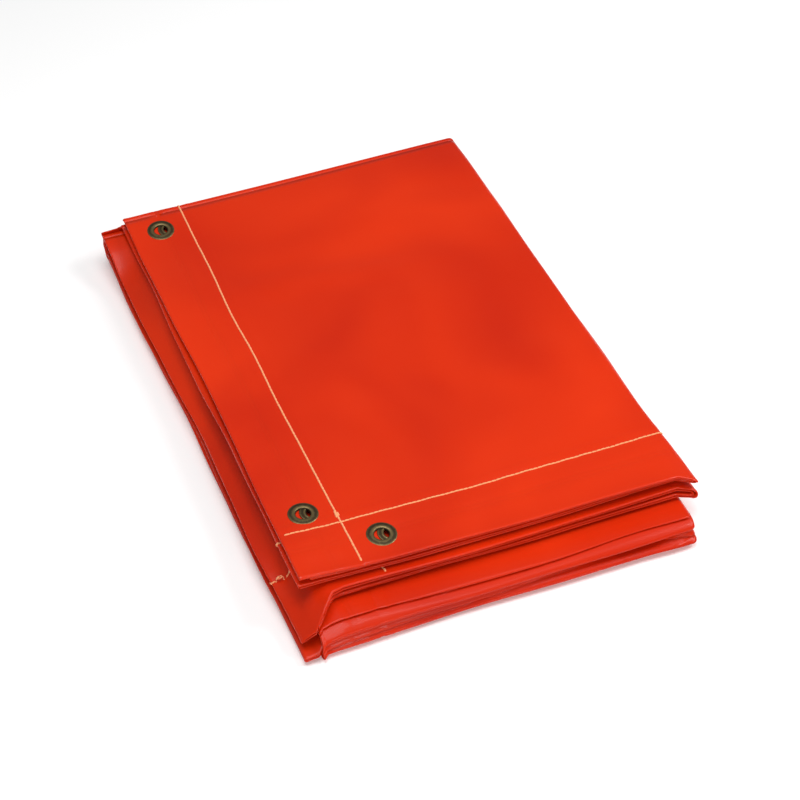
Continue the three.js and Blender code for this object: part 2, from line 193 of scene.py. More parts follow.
@dataclass
class Settling:
    """Turns the regular bundle into a hand-folded one.

    Each step shifts points along one axis, by an amount that changes slowly along that axis. That keeps most layers
    in their order, but not all: hems and folds that lie close still cut each other in places.
    """

    bundle: Bundle
    loop_inset: float = 0.72  # how far the top pack's left loops are drawn in under its hem
    droop: float = 0.40  # how far the left loops sink, as a share of their height
    corner_advance: float = 24 * MM  # the second pack's front left loops hang forward over the roll
    corner_reach: float = 7 * MM  # the lower pack's front left corner lies forward
    corner_inset: float = 2 * MM  # and to the right of the layers above
    front_boxing: float = 7 * MM  # the roll's foot reaches forward
    right_droop: float = 12 * MM  # the right corners of the upper packs slip forward
    right_advance: float = 6 * MM  # the same corners reach out to the right
    right_retreat: float = 8 * MM  # the roll's right end is short
    back_lift: float = 2.0 * MM  # the back right corner of the top pack stands higher
    back_reach: float = 3.0 * MM  # and reaches back

    def _between(self, z: Array, low: float, high: float, soft: float = 1.0) -> Array:
        """1 for heights from low to high millimetres, with soft ends."""
        return smooth(low - soft, low, z / MM) * (1.0 - smooth(high, high + soft, z / MM))

    def _from_front(self, y: Array, depth: float) -> Array:
        """1 at the bundle's front, fading to 0 at depth millimetres behind it."""
        front = self.bundle.roll_y - self.bundle.roll_bulge
        return 1.0 - smooth(front + 6 * MM, front + depth * MM, y)

    def apply(self, p: Array) -> Array:
        """Settles points.

        Args:
            p: Points in the regular bundle, with a last axis of three.

        Returns:
            The points in the settled bundle.
        """
        x, y, z = p[..., 0].copy(), p[..., 1].copy(), p[..., 2].copy()
        x = self._loops(x, y, z)
        x, y = self._corners(x, y, z)
        y = y - self._front_profile(x, z) * self._from_front(y, 95)
        x, y = self._edges(x, y, z)
        past = np.clip(y - self.bundle.spine_y, 0, None)
        y = y - 0.4 * past * smooth(12 * MM, 34 * MM, z)
        z = self._heights(x, y, z)
        return np.stack([x, y, z], axis=-1)

    def _loops(self, x: Array, y: Array, z: Array) -> Array:
        """The left loops: the top pack's drawn in, the lower pack's pushed out towards the back.

        Args:
            x: Places across.
            y: Places along.
            z: Heights.

        Returns:
            The new places across.
        """
        edge = self.bundle.hem_x + 4 * MM
        beyond = np.clip(edge - x, 0, None)
        x = x + self.loop_inset * self._between(z, 36, 41) * beyond**2 / (beyond + 3 * MM)
        low = 1.0 - smooth(34.9 * MM, 36.0 * MM, z)
        out = 5 * MM * smooth(-0.02, 0.25, y) + 1.5 * MM
        return x - low * out * smooth(-0.12, -0.165, x)

    def _corners(self, x: Array, y: Array, z: Array) -> tuple[Array, Array]:
        """The front corners of each pack.

        Args:
            x: Places across.
            y: Places along.
            z: Heights.

        Returns:
            The new places across and along.
        """
        second = self._between(z, 24.4, 35.2, 0.8)
        loops = smooth(-0.130, -0.159, x)
        lower = 1.0 - smooth(23.2 * MM, 24.2 * MM, z)
        upper = smooth(35.2 * MM, 36.2 * MM, z)
        y = y - self.corner_advance * second * loops * self._from_front(y, 130)
        y = y - self.corner_reach * lower * smooth(-0.148, -0.158, x) * self._from_front(y, 110)
        x = x + self.corner_inset * lower * smooth(-0.125, -0.165, x) * self._from_front(y, 80)
        right = smooth(0.154, 0.170, x)
        y = y - self.right_droop * (upper + 0.8 * second) * right * self._from_front(y, 72)
        x = x - self.right_retreat * lower * smooth(0.07, 0.167, x) * self._from_front(y, 140)
        x = x + 3 * MM * second * smooth(-0.05, -0.15, x) * self._from_front(y, 120)
        x = x + self.right_advance * (upper + 0.8 * second) * smooth(0.10, 0.170, x) * self._from_front(y, 120)
        return x, y

    def _front_profile(self, x: Array, z: Array) -> Array:
        """How far the roll's front stands out at each height: a boxy foot, with creases that wander.

        Args:
            x: Places across.
            z: Heights.

        Returns:
            Distances forward.
        """
        zm = z / MM
        across = (x - self.bundle.left_x) / (self.bundle.right_x - self.bundle.left_x)
        upper_crease = 19.6 + 0.7 * np.sin(9.0 * across + 0.5)
        lower_crease = 7.0 + 3.4 * smooth(0.35, 0.80, across) - 3.0 * smooth(0.88, 1.0, across)
        foot = self.front_boxing * (1.0 - smooth(5.0, 13.0, zm))
        shoulder = 3.4 * MM * hump(zm, 15.4, 2.3)
        creases = 6.5 * MM * hump(zm, upper_crease, 0.95)
        mouth = hump(across, 0.845, 0.075)
        creases = creases + (3.4 + 10.0 * mouth) * MM * hump(zm, lower_crease - 1.0 * mouth, 1.0 + 0.8 * mouth)
        lip = 1.6 * MM * smooth(0.55, 0.9, across) * hump(zm, lower_crease - 3.0, 1.6)
        return (foot + shoulder + lip - creases) * (1.0 - smooth(22.6, 24.2, zm))

    def _edges(self, x: Array, y: Array, z: Array) -> tuple[Array, Array]:
        """The hems and folds wander a little, each layer in its own way.

        Args:
            x: Places across.
            y: Places along.
            z: Heights.

        Returns:
            The new places across and along.
        """
        high = z / self.bundle.top_z
        top = smooth(0.86, 0.97, high)
        bow = 2.6 * MM * (hump(y, 0.0, 0.11) - 0.75)
        seam = 1.1 * MM * np.sin(y / 0.024 + 0.6) * hump(y, 0.08, 0.09)
        x = x + top * (bow * smooth(-0.09, -0.15, x) + (3 * MM * smooth(-0.05, 0.24, y) + seam) * hump(x, -0.104, 0.05))
        x = x + (1.0 - top) * 1.5 * MM * ripple(y, 9.0 * z, 0.23, 0.4)
        y = y + (1.0 - top) * self._from_front(y, 120) * 1.8 * MM * ripple(x, 11.0 * z, 0.31, 1.9)
        y = y - top * 3.5 * MM * smooth(-0.10, 0.10, x) * self._from_front(y, 160)
        y = y + top * 2.5 * MM * smooth(-0.10, -0.16, x) * self._from_front(y, 160)
        y = y + top * self.back_reach * smooth(-0.05, 0.16, x) * smooth(0.02, 0.24, y)
        return x, y

    def _heights(self, x: Array, y: Array, z: Array) -> Array:
        """The bundle's thickness: fuller at the stacked hems, sunk at the loops, with slow waves on top.

        It stays regular at the spine, where the two halves have to meet in every pose.

        Args:
            x: Places across.
            y: Places along.
            z: Heights.

        Returns:
            The new heights.
        """
        b = self.bundle
        high = np.clip(z / b.top_z, 0, 1)
        across = np.clip((x - b.left_x) / (b.right_x - b.left_x), 0, 1)
        along = np.clip((y - b.roll_y) / (b.spine_y - b.roll_y), 0, 1)
        full = 1.0 + 0.055 * (1 - across) * (1 - along) - 0.06 * across * (1 - along)
        full = full + 0.09 * across * along - 0.08 * (1 - across) * along
        full = full - 0.06 * np.sin(math.pi * across) * np.sin(math.pi * along)
        calm = 1.0 - smooth(b.spine_y - 60 * MM, b.spine_y - 6 * MM, y)
        low = 1.0 - smooth(35.0 * MM, 36.5 * MM, z)
        ridge = hump(x, -0.1610 + 0.0016 * np.sin(y / 0.05), 0.0034)
        sunk = self.droop * smooth(-0.1495, -0.1555, x) - 0.15 * ridge
        sunk = sunk + 0.20 * smooth(-0.130, -0.154, x) * self._from_front(y, 100)
        z = z * (1.0 + calm * (full - 1.0)) * (1.0 - calm * low * sunk)
        z = z * (1.0 - 0.10 * smooth(0.156, 0.170, x) * self._from_front(y, 100))
        wave = 1.5 * MM * ripple(x, y, 0.27, 0.7) + 0.40 * MM * ripple(y, x, 0.10, 2.6)
        crease = 1.3 * MM * hump(y + 0.01 * np.sin(x / 0.04), 0.104, 0.010) * hump(x, -0.01, 0.10)
        z = z + (1.0 - calm) * self.back_lift * across * smooth(28 * MM, b.top_z, z)
        z = z + calm * high**3 * (wave + crease)
        return z + 0.6 * MM * (1.0 - smooth(0.0, 3 * MM, z))


# ------------------------------------------------------------------------------------------------- the fold map


class FoldMap:
    """Carries points of the flat sheet, s across and t along, to the folded bundle."""

    HEM_STEP = 0.56 * MM  # from one ply's middle to the next in a hem
    BEAD = 0.75 * MM  # how much further apart they stand where the film turns under

    def __init__(self, bundle: Bundle) -> None:
        """Works out where each fold starts and ends on the flat sheet.

        Args:
            bundle: The sizes.
        """
        b = self.b = bundle
        self.settling = Settling(bundle)
        self.dents: list[tuple[float, float]] = []
        widths = [
            b.right_x - b.hem_x,
            half_ellipse(b.outer_bulge, b.pack / 2),
            b.right_x - b.left_x,
            half_ellipse(b.left_bulge, b.backs / 2),
            b.right_x - b.left_x,
            half_ellipse(b.inner_bulge, b.nest_gap / 2),
            b.right_x - b.second_x,
        ]
        self.s_knots = np.concatenate([[0.0], np.cumsum(widths)])
        half_top, half_roll = b.top_z / 2, b.roll_top_z / 2
        lengths = [
            b.spine_y - b.top_hem_y,
            half_ellipse(b.spine_bulge, half_top),
            b.spine_y - b.roll_y,
            half_ellipse(b.roll_bulge, half_roll),
            b.spine_y - b.roll_y,
            half_ellipse(b.inner_spine_core, b.nest_gap / 2),
            b.spine_y - b.bottom_hem_y,
        ]
        self.t_knots = np.concatenate([[0.0], np.cumsum(lengths)])
        self.width = float(self.s_knots[-1])
        self.length = float(self.t_knots[-1])

    # ---- across the sheet ----

    def _turn(self, beyond: Array) -> tuple[Array, Array]:
        """The rounded edge of a hem: how much of a flap's offset is reached, and how far the edge draws in.

        Args:
            beyond: Distances past the hem edge.

        Returns:
            The share of the offset, and the distance drawn in.
        """
        radius = (self.HEM_STEP + self.BEAD) / 2
        arc = math.pi * radius
        angle = np.clip((beyond + arc / 2) / arc, 0.0, 1.0) * math.pi
        return (1 - np.cos(angle)) / 2, radius * (1 - np.sin(angle))

    def across(self, s: Array) -> tuple[Array, Array, Array, Array]:
        """The path of the film across a pack.

        Args:
            s: Distances from the left hem edge. Below 0 and past the width are the hem flaps.

        Returns:
            X, depth, and the X and depth of the unit direction towards the film's back.
        """
        b, k = self.b, self.s_knots
        c0, c1, c2, c3 = b.depths
        u = fold_back(s, self.width)
        x, c = np.zeros_like(u), np.zeros_like(u)
        nx, nc = np.zeros_like(u), np.zeros_like(u)
        panels = (
            (0, b.hem_x, 1, c0, 1),
            (2, b.right_x, -1, c1, -1),
            (4, b.left_x, 1, c2, 1),
            (6, b.right_x, -1, c3, -1),
        )
        for i, start, way, depth, back in panels:
            on = (u >= k[i]) & (u <= k[i + 1])
            x[on] = start + way * (u[on] - k[i])
            c[on] = depth
            nc[on] = back
        folds = (
            (1, b.right_x, 1, c0, c1, b.outer_bulge, 1),
            (3, b.left_x, -1, c1, c2, b.left_bulge, 1),
            (5, b.right_x, 1, c2, c3, b.inner_bulge - b.ply, -1),
        )
        for i, at, way, start, end, bulge, back in folds:
            on = (u > k[i]) & (u < k[i + 1])
            angle = (u[on] - k[i]) / (k[i + 1] - k[i]) * math.pi
            middle, half = (start + end) / 2, (end - start) / 2
            x[on] = at + way * bulge * np.sin(angle)
            c[on] = middle - half * np.cos(angle)
            ex, ec = way * np.sin(angle) * abs(half), -np.sign(half) * np.cos(angle) * bulge
            size = np.hypot(ex, ec) + 1e-12
            nx[on], nc[on] = -back * ex / size, -back * ec / size
        return x, c, nx, nc

    # ---- along the sheet ----

    def heights(self, c: Array, which: int) -> Array:
        """The height of depth c in the top, low, roll or second pack (0, 1, 2, 3).

        Args:
            c: Depths in the pack.
            which: The pack's number.

        Returns:
            The heights.
        """
        b = self.b
        if which == 0:
            return b.top_z - c
        if which == 1:
            return c + b.rise * np.clip((c - 2 * b.ply) / (b.backs - 4 * b.ply), 0, 1)
        if which == 2:
            return b.roll_top_z - c
        return b.second_z + c

    def bulges(self, c: Array | float) -> tuple:
        """How far depth c stands out at the outer spine, the front roll and the inner spine.

        Args:
            c: Depths in the pack.

        Returns:
            The three bulges.
        """
        b, share = self.b, c / self.b.pack
        outer = b.spine_bulge + (b.outer_spine_core - b.spine_bulge) * share
        roll = b.roll_bulge + (b.roll_core_bulge - b.roll_bulge) * share
        return outer, roll, b.inner_spine_core + (b.inner_spine_bulge - b.inner_spine_core) * share

    def spine_length(self, c: float, inner: bool) -> float:
        """The film that depth c takes to turn round the outer or the inner spine.

        Args:
            c: The depth.
            inner: True for the inner spine.

        Returns:
            The length.
        """
        start, end = (2, 3) if inner else (0, 1)
        low, high = self.heights(np.array(c), start), self.heights(np.array(c), end)
        return half_ellipse(self.bulges(c)[2 if inner else 0], abs(float(high - low)) / 2)

    def along(self, t: Array, c: Array) -> tuple[Array, Array]:
        """The place of depth c at a distance t from the top hem.

        Args:
            t: Distances along the sheet, with the hem flaps folded back already.
            c: Depths in the pack.

        Returns:
            Y and Z.
        """
        b, k = self.b, self.t_knots
        y, z = np.zeros_like(t), np.zeros_like(t)
        packs = ((0, b.top_hem_y, 1), (2, b.spine_y, -1), (4, b.roll_y, 1), (6, b.spine_y, -1))
        for n, (i, start, step) in enumerate(packs):
            on = (t >= k[i]) & (t <= k[i + 1])
            y[on] = start + step * (t[on] - k[i])
            z[on] = self.heights(c[on], n)
        outer, roll, inner = self.bulges(c)
        folds = ((1, b.spine_y, 1, outer, 0, 1), (3, b.roll_y, -1, roll, 1, 2), (5, b.spine_y, 1, inner, 2, 3))
        for i, at, step, bulge, start, end in folds:
            on = (t > k[i]) & (t < k[i + 1])
            angle = (t[on] - k[i]) / (k[i + 1] - k[i]) * math.pi
            z0, z1 = self.heights(c[on], start), self.heights(c[on], end)
            y[on] = at + step * bulge[on] * np.sin(angle)
            z[on] = (z0 + z1) / 2 + (z0 - z1) / 2 * np.cos(angle)
        return y, z

    def relief(self, u: Array, v: Array) -> Array:
        """How far the film sinks towards its back beside the hems and along their seams.

        Args:
            u: Distances across.
            v: Distances along.

        Returns:
            The depths that it sinks.
        """
        sink = np.zeros_like(u)
        for edge, run in ((u, v), (self.width - u, v), (v, u), (self.length - v, u)):
            near = hump(edge, self.b.seam_inset, 2.6 * MM)
            pucker = 0.16 * MM * np.sin(run / (2.9 * MM) + 2.0 * np.sin(run / 0.041))
            sink = sink + 0.22 * MM * smooth(self.b.hem - 0.5 * MM, self.b.hem + 3 * MM, edge)
            sink = sink + near * (0.45 * MM + pucker)
            sink = sink - 0.25 * MM * hump(edge, self.b.seam_inset * 0.5, 14 * MM)
        for s, t in self.dents:
            sink = sink + 0.8 * MM * hump(np.hypot(u - s - 1 * MM, v - t + 2 * MM), 0, 17 * MM)
        return sink

    def place(self, s: Array, t: Array, out: float = 0.0) -> Array:
        """Carries points of the flat sheet to the folded bundle.

        Args:
            s: Distances across, from the left hem edge.
            t: Distances along, from the top hem edge.
            out: How far out of the film's face the point stands.

        Returns:
            The points, with a last axis of three.
        """
        b = self.b
        s, t = np.broadcast_arrays(np.asarray(s, float), np.asarray(t, float))
        u = fold_back(s, self.width)
        beyond_s = np.where(s < self.width / 2, -s, s - self.width)
        turn_s, draw_s = self._turn(beyond_s)
        v = fold_back(t, self.length)
        beyond_t = np.where(t < self.length / 2, -t, t - self.length)
        turn_t, draw_t = self._turn(beyond_t)
        near_side = 1.0 - smooth(b.hem, b.hem + 6 * MM, np.minimum(u, self.width - u))
        plies = turn_s + turn_t * (1.0 + 2.0 * near_side * (1.0 - turn_s))
        x, c, nx, nc = self.across(s)
        bead = (turn_s - 0.5) * hump(beyond_s, 0, 3.2 * MM) + (turn_t - 0.5) * hump(beyond_t, 0, 3.2 * MM)
        back = b.ply / 2 + plies * self.HEM_STEP + self.BEAD * bead + self.relief(u, v)
        back = back - out * (1 - 2 * turn_s) * (1 - 2 * turn_t)
        x = x + nx * back + np.where(np.minimum(u, self.width - u) < b.hem / 2, draw_s, 0.0)
        y, z = self.along(v, c + nc * back)
        y = y + np.where(v < b.hem / 2, draw_t, 0.0) + np.where(v > self.length - b.hem / 2, draw_t, 0.0)
        return self.settling.apply(np.stack([x, y, z], axis=-1))

    def normal(self, s: Array, t: Array) -> Array:
        """The unit direction out of the film's face.

        Args:
            s: Distances across.
            t: Distances along.

        Returns:
            The unit vectors.
        """
        tiny = 0.05 * MM
        across = self.place(s + tiny, t) - self.place(s - tiny, t)
        along = self.place(s, t + tiny) - self.place(s, t - tiny)
        normal = np.cross(across, along)
        return normal / (np.linalg.norm(normal, axis=-1, keepdims=True) + 1e-15)


# ---------------------------------------------------------------------------------------------------- the meshes


def spread(start: float, end: float, step: float) -> list[float]:
    """Evenly spaced places from start to end, no further apart than step, without the last."""
    count = max(1, math.ceil((end - start) / step - 1e-6))
    return [start + (end - start) * i / count for i in range(count)]


class SheetGrid:
    """The flat sheet's grid lines: close together at folds, hem edges and eyelets, wider between them."""

    PANEL_STEP = 10 * MM
    FOLD_STEPS = 10
    ROLL_STEPS = 34
    LONG_FOLD = 25 * MM
    SPINE_REACH = 5 * MM  # how far a spine strip runs on past its fold
    CUT = 7 * MM  # half the square left open under an eyelet's flange
    LEAST_GAP = 0.7 * MM  # lines closer than this are merged, except at a hem edge

    def __init__(self, fold: FoldMap, eyelets: list[tuple[float, float]]) -> None:
        """Builds the lines across and along.

        Args:
            fold: The fold map.
            eyelets: The s and t of each eyelet's middle.
        """
        self.fold = fold
        self.eyelets = eyelets
        b = fold.b
        cuts_s = self._cut_lines([e[0] for e in eyelets], fold.width)
        cuts_t = self._cut_lines([e[1] for e in eyelets], fold.length)
        k, reach = fold.t_knots, self.SPINE_REACH
        self.spine_cuts = (k[1] - reach, k[2] + reach, k[5] - reach, k[6] + reach)
        self.s_lines = self._lines(fold.s_knots, fold.width, b.hem, cuts_s)
        self.t_lines = self._lines(fold.t_knots, fold.length, b.hem, cuts_t + list(self.spine_cuts))

    def _cut_lines(self, middles: list[float], size: float) -> list[float]:
        """The lines that an eyelet's square hole needs, in the film and in its hem flap.

        Args:
            middles: The eyelets' middles.
            size: The sheet's size this way.

        Returns:
            The lines.
        """
        lines: list[float] = []
        for middle in sorted(set(round(m, 7) for m in middles)):
            for offset in (-1.6, -1.0, 0.0, 1.0, 1.6):
                place = middle + offset * self.CUT
                lines.append(place)
                if place < 2 * self.CUT + self.fold.b.eyelet_inset:
                    lines.append(-place)
                if size - place < 2 * self.CUT + self.fold.b.eyelet_inset:
                    lines.append(2 * size - place)
        return lines

    def _lines(self, knots: Array, size: float, hem: float, cuts: list[float]) -> Array:
        """All grid lines one way.

        Args:
            knots: Where folds start and end.
            size: The sheet's size this way.
            hem: The hem's width.
            cuts: Lines that have to be there.

        Returns:
            The lines in order.
        """
        edge = (FoldMap.HEM_STEP + FoldMap.BEAD) * math.pi / 4
        lines = spread(-hem, -edge, self.PANEL_STEP) + spread(-edge, edge, edge / 3) + [-3.5 * MM, -2 * MM]
        lines += [2 * MM, 3.5 * MM, size - 2 * MM, size - 3.5 * MM, size + 2 * MM, size + 3.5 * MM]
        lines += spread(edge, hem - 1 * MM, self.PANEL_STEP)
        for i in range(len(knots) - 1):
            start, end = float(knots[i]), float(knots[i + 1])
            if i % 2:
                steps = self.ROLL_STEPS if end - start > self.LONG_FOLD else self.FOLD_STEPS
                lines += spread(start, end, (end - start) / steps)
            else:
                lines += [p for p in spread(start, end, self.PANEL_STEP) if hem < p < size - hem]
                lines.append(end)
        for side in (0, 1):
            for near in (-2.5, -1.2, 0.0, 1.2, 2.5):
                place = self.fold.b.seam_inset + near * MM
                lines += [place if side == 0 else size - place]
            for step in (0.0, 2.0, 4.0, 6.0):
                place = hem + step * MM
                lines += [place if side == 0 else size - place]
        lines += spread(size - hem + 1 * MM, size - edge, self.PANEL_STEP)
        lines += spread(size - edge, size + edge, edge / 3) + spread(size + edge, size + hem, self.PANEL_STEP)
        lines.append(size + hem)
        merged = sorted(lines + cuts)
        kept = [merged[0]]
        fixed = set(round(c, 7) for c in cuts) | set(round(float(k), 7) for k in knots)
        for line in merged[1:]:
            gap = line - kept[-1]
            if gap > self.LEAST_GAP or (gap > 0.05 * MM and self._at_edge(line, size)):
                kept.append(line)
            elif round(line, 7) in fixed and round(kept[-1], 7) not in fixed:
                kept[-1] = line
        return np.array(kept)

    @staticmethod
    def _at_edge(line: float, size: float) -> bool:
        """True within a hem edge's turn, where the lines stay close together."""
        return abs(line) < 1 * MM or abs(line - size) < 1 * MM

    def open_at(self, s: Array, t: Array) -> Array:
        """True for a cell whose middle lies in an eyelet's hole.

        Args:
            s: Distances across.
            t: Distances along.

        Returns:
            One truth value for each cell.
        """
        u, v = fold_back(s, self.fold.width), fold_back(t, self.fold.length)
        found = np.zeros(u.shape, bool)
        for es, et in self.eyelets:
            found |= (abs(u - es) < self.CUT) & (abs(v - et) < self.CUT)
        return found


class FilmPiece:
    """One piece of the film: a patch of the flat sheet, folded and given its thickness."""

    def __init__(self, grid: SheetGrid, name: str, s_range: tuple[float, float], t_range: tuple[float, float]) -> None:
        """Keeps what the piece is made from.

        Args:
            grid: The sheet's grid lines.
            name: The piece's name.
            s_range: Its first and last line across.
            t_range: Its first and last line along.
        """
        self.grid, self.name = grid, name
        tiny = 1e-6
        self.s = grid.s_lines[(grid.s_lines >= s_range[0] - tiny) & (grid.s_lines <= s_range[1] + tiny)]
        self.t = grid.t_lines[(grid.t_lines >= t_range[0] - tiny) & (grid.t_lines <= t_range[1] + tiny)]

    def cut_size(self) -> tuple[float, float]:
        """The size that the piece was cut to: its share of the flat sheet, hem flaps included."""
        return float(self.s[-1] - self.s[0]), float(self.t[-1] - self.t[0])

    def build(self, material: bpy.types.Material) -> bpy.types.Object:
        """Makes the closed mesh with its UV map in metres of flat sheet.

        Args:
            material: The film's material.

        Returns:
            The new object, linked to the scene.
        """
        fold = self.grid.fold
        s, t = np.meshgrid(self.s, self.t, indexing="ij")
        middle = fold.place(s, t)
        normal = fold.normal(s, t)
        half = fold.b.ply / 2
        rows, columns = s.shape
        count = rows * columns
        points = np.concatenate([(middle + normal * half).reshape(-1, 3), (middle - normal * half).reshape(-1, 3)])
        index = np.arange(count).reshape(rows, columns)
        a, b, c, d = index[:-1, :-1], index[1:, :-1], index[1:, 1:], index[:-1, 1:]
        mid_s = (s[:-1, :-1] + s[1:, 1:]) / 2
        mid_t = (t[:-1, :-1] + t[1:, 1:]) / 2
        solid = ~self.grid.open_at(mid_s, mid_t)
        face = np.stack([a, b, c, d], axis=-1)[solid]
        quads = [face, face[:, ::-1] + count]
        edges: dict[tuple[int, int], int] = {}
        for quad in face:
            for i in range(4):
                p, q = int(quad[i]), int(quad[(i + 1) % 4])
                if (q, p) in edges:
                    del edges[(q, p)]
                else:
                    edges[(p, q)] = 1
        rim = np.array([[q, p, p + count, q + count] for p, q in edges], int)
        quads.append(rim)
        faces = np.concatenate(quads)
        used, inverse = np.unique(faces, return_inverse=True)
        flat = np.stack([s.reshape(-1), t.reshape(-1)], axis=-1)
        flat = np.concatenate([flat, flat])[used]
        obj = mesh_object(self.name, points[used], inverse.reshape(faces.shape), material, flat)
        flat_faces = np.ones(len(faces), bool)
        flat_faces[len(faces) - len(rim) :] = False
        obj.data.polygons.foreach_set("use_smooth", flat_faces)
        return obj


def mesh_object(
    name: str, points: Array, faces: Array, material: bpy.types.Material, flat: Array | None = None
) -> bpy.types.Object:
    """A smooth-shaded mesh object at the origin.

    Args:
        name: The object's name.
        points: The vertices.
        faces: The quads, as rows of vertex numbers.
        material: Its only material.
        flat: A UV place for each vertex, if it has one.

    Returns:
        The new object, linked to the scene.
    """
    mesh = bpy.data.meshes.new(name)
    mesh.from_pydata([tuple(p) for p in points.tolist()], [], [tuple(f) for f in faces.tolist()])
    if flat is not None:
        layer = mesh.uv_layers.new(name="flat_sheet")
        corner = np.zeros(len(mesh.loops), np.int32)
        mesh.loops.foreach_get("vertex_index", corner)
        layer.data.foreach_set("uv", flat[corner].astype(np.float32).reshape(-1))
    mesh.shade_smooth()
    mesh.materials.append(material)
    obj = bpy.data.objects.new(name, mesh)
    bpy.context.scene.collection.objects.link(obj)
    return obj


# --------------------------------------------------------------------------------------------------- the finishes


class Shade:
    """A shader value that can be written into with Python's own operators."""

    def __init__(self, tree: bpy.types.NodeTree, socket: bpy.types.NodeSocket) -> None:
        """Wraps a socket of a node tree."""
        self.tree, self.socket = tree, socket

    def node(self, kind: str, settings: dict | None = None, inputs: dict | None = None, output: int | str = 0) -> Shade:
        """Adds any node.

        Args:
            kind: The node's type.
            settings: Its settings, set first. "stops" gives a colour ramp's places and colours.
            inputs: Values or shades for its inputs, by name or number.
            output: The output to wrap.

        Returns:
            The node's output.
        """
        made = self.tree.nodes.new(kind)
        for key, value in (settings or {}).items():
            if key == "stops":
                ramp = made.color_ramp
                while len(ramp.elements) < len(value):
                    ramp.elements.new(0.5)
                for element, (place, color) in zip(ramp.elements, value):
                    element.position, element.color = place, (*color, 1.0)
            else:
                setattr(made, key, value)
        for key, value in (inputs or {}).items():
            socket = made.inputs[key]
            if isinstance(value, Shade):
                self.tree.links.new(value.socket, socket)
            else:
                socket.default_value = value
        return Shade(self.tree, made.outputs[output])

    def _math(self, operation: str, first: object, second: object) -> Shade:
        """A Math node."""
        return self.node("ShaderNodeMath", {"operation": operation}, {0: first, 1: second})

    def __add__(self, other: object) -> Shade:
        """self + other."""
        return self._math("ADD", self, other)

    def __radd__(self, other: object) -> Shade:
        """other + self."""
        return self._math("ADD", other, self)

    def __sub__(self, other: object) -> Shade:
        """self - other."""
        return self._math("SUBTRACT", self, other)

    def __rsub__(self, other: object) -> Shade:
        """other - self."""
        return self._math("SUBTRACT", other, self)

    def __mul__(self, other: object) -> Shade:
        """self * other."""
        return self._math("MULTIPLY", self, other)

    def __rmul__(self, other: object) -> Shade:
        """other * self."""
        return self._math("MULTIPLY", other, self)

    def clamped(self) -> Shade:
        """The value held between 0 and 1."""
        return self.node("ShaderNodeClamp", {}, {0: self})


class Surface:
    """A material with its Principled shader and its coordinates ready."""

    def __init__(self, name: str, fixed: dict) -> None:
        """Makes the material and sets the values that are the same all over.

        Args:
            name: The material's name.
            fixed: Values for the shader's own sockets.
        """
        self.material = bpy.data.materials.new(name)
        self.material.use_nodes = True
        self.tree = self.material.node_tree
        self.shader = self.tree.nodes["Principled BSDF"]
        for key, value in fixed.items():
            self.shader.inputs[key].default_value = value
        coordinates = self.tree.nodes.new("ShaderNodeTexCoord")
        self.object = Shade(self.tree, coordinates.outputs["Object"])
        self.flat = Shade(self.tree, coordinates.outputs["UV"])

    def noise(self, at: Shade, scale: float, detail: float = 3.0, rough: float = 0.55, warp: float = 0.0) -> Shade:
        """Cloudy noise from 0 to 1."""
        inputs = {"Vector": at, "Scale": scale, "Detail": detail, "Roughness": rough, "Distortion": warp}
        return at.node("ShaderNodeTexNoise", {}, inputs)

    def mix(self, share: Shade, first: tuple, second: tuple) -> Shade:
        """A colour between first and second.

        Args:
            share: The second colour's share.
            first: The first colour.
            second: The second colour.

        Returns:
            The colour.
        """
        return share.node(
            "ShaderNodeMix", {"data_type": "RGBA"}, {0: share, 6: (*first, 1.0), 7: (*second, 1.0)}, output=2
        )

    def feed(self, **links: Shade) -> None:
        """Links shades to the shader's inputs, with _ for a space in the name."""
        for key, value in links.items():
            self.tree.links.new(value.socket, self.shader.inputs[key.replace("_", " ")])

    def bump(self, height: Shade, distance: float, strength: float = 1.0) -> None:
        """Feeds a height through a Bump node to the shader's normal."""
        made = height.node("ShaderNodeBump", {}, {"Height": height, "Distance": distance, "Strength": strength})
        self.feed(Normal=made)


@dataclass(frozen=True)
class FilmFinish:
    """Glossy orange-red PVC film that lets a little light through, with slow clouds of painted light and shade in its
    colour.
    """

    # The two ends of the film's painted shade: the darker red stands for shade on its slow waves, the brighter red for
    # light on them.
    painted_shade_red: tuple = (0.56, 0.016, 0.001)
    bright: tuple = (0.76, 0.033, 0.002)

    def make(self) -> bpy.types.Material:
        """Builds the material.

        Returns:
            The material.
        """
        fixed = {
            "IOR": 1.5,
            "Specular IOR Level": 0.17,
            "Coat Weight": 0.13,
            "Coat Roughness": 0.13,
            "Subsurface Weight": 0.06,
            "Subsurface Scale": 0.003,
            "Subsurface Radius": (1.0, 0.2, 0.05),
        }
        s = Surface("orange_pvc_film", fixed)
        # Painted light and shade: slow clouds of darker and brighter red in the base colour stand in for the shading of
        # the film's slow waves.
        painted_wave_shade = ((s.noise(s.object, 5.5, 2.0, 0.45, 0.6) - 0.3) * 2.4).clamped()
        grain = s.noise(s.flat, 900.0, 2.0)
        dimples = s.noise(s.flat, 260.0, 2.0, 0.5)
        haze = s.noise(s.object, 34.0, 4.0, 0.6, 0.4)
        s.feed(Base_Color=s.mix(painted_wave_shade, self.painted_shade_red, self.bright))
        s.feed(Roughness=0.24 + haze * 0.16 + grain * 0.03)
        s.bump(dimples * 0.7 + grain * 0.3, 0.00010, 0.5)
        return s.material


